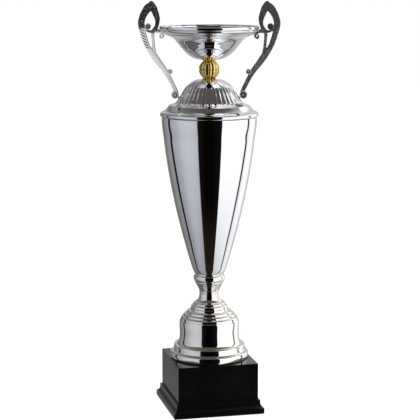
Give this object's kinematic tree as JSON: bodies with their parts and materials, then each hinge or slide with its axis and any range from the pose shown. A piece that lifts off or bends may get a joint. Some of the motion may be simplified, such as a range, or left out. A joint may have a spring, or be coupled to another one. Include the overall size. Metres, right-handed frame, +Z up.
{
  "type": "cup trophy",
  "caption": "Tall silver trophy: a shallow bowl on a gold ball, a fluted shoulder and tapering body, a bell foot on a square black plinth, with pierced scroll handles.",
  "frame": {"origin": "centre of the underside of the felt, on the surface the trophy stands on", "axes": "+Z up along the tie rod; -Y out of the front of the plinth; the handles lie 13.3 degrees clockwise of the X axis, seen from above"},
  "size_m": [0.206, 0.1468, 0.6117],
  "materials": {
    "silver_plate": "mirror-polished silver-coloured plate",
    "gilt": "polished gold-coloured plate",
    "antique_silver": "darkened cast relief with rubbed edges",
    "gloss_black": "high gloss black",
    "fastener_steel": "zinc plated",
    "polished_nut": "bright nickel",
    "ballast_iron": "raw plate, lightly oiled",
    "fibreboard": "pressed board",
    "felt": "black felt"
  },
  "bodies": {
    "plinth": {"felt_sheet": "felt", "bottom_board": "fibreboard", "plinth_shell": "gloss_black", "rod_bush": "fibreboard", "ballast_front": "ballast_iron", "ballast_back": "ballast_iron"},
    "cup": {"tie_rod": "fastener_steel", "base_washer": "fastener_steel", "base_nut": "fastener_steel", "foot_bell": "silver_plate", "stem_neck": "silver_plate", "collar_cup": "silver_plate", "cone_body": "silver_plate", "shoulder_dome": "silver_plate", "lower_collar": "gilt", "knop_lower_half": "gilt", "knop_upper_half": "gilt", "upper_collar": "gilt", "bowl": "silver_plate", "bowl_washer": "fastener_steel", "cap_nut": "polished_nut", "handle_right": "antique_silver", "handle_left": "antique_silver", "dome_screw_right": "fastener_steel", "dome_screw_left": "fastener_steel", "bowl_screw_right": "fastener_steel", "bowl_screw_left": "fastener_steel"}
  },
  "joints": [
    {"name": "cup_swivel", "type": "hinge", "parent": "plinth", "child": "cup", "pos_m": [0, 0, 0.076], "axis": [0, 0, 1], "continuous": true}
  ]
}
